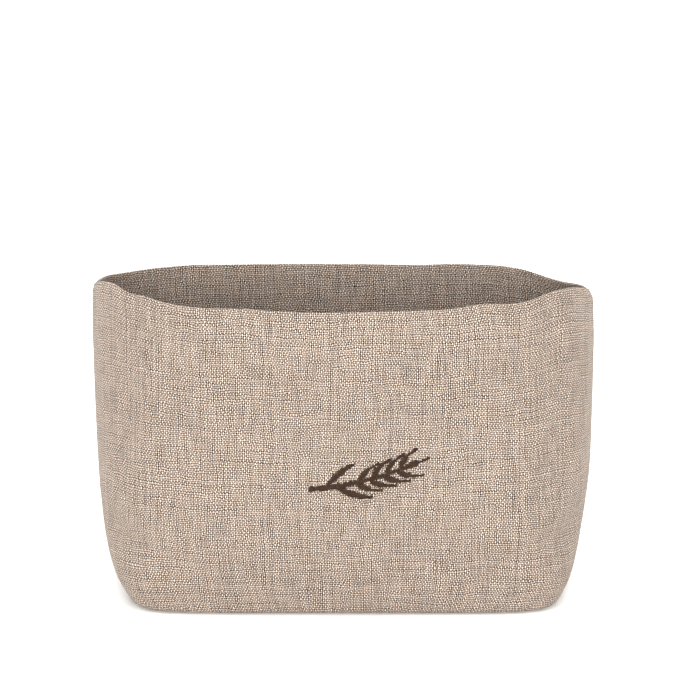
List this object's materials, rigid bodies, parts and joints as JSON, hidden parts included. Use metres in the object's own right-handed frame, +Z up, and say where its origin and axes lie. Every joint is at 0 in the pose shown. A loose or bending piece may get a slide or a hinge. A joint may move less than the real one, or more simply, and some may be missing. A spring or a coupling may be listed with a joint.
{
  "type": "linen bread bag",
  "caption": "Soft open-topped table bag for bread, sewn from doubled natural linen on a boxed flat base, with a folded rim and rounded, slightly uneven walls.",
  "frame": {"origin": "on the table, under the middle of the bag's bounding box", "axes": "+X to the right along the bag's width, +Y from the front to the back, +Z up; the front panel faces -Y"},
  "size_m": [0.3152, 0.1646, 0.2046],
  "materials": {
    "natural_linen": "matt plain-weave undyed linen with uneven yarns",
    "embroidery_thread": "dark brown satin stitch with a soft sheen, worked on the front panel"
  },
  "bodies": {
    "root": {"front_panel": "natural_linen", "back_panel": "natural_linen"}
  },
  "joints": []
}
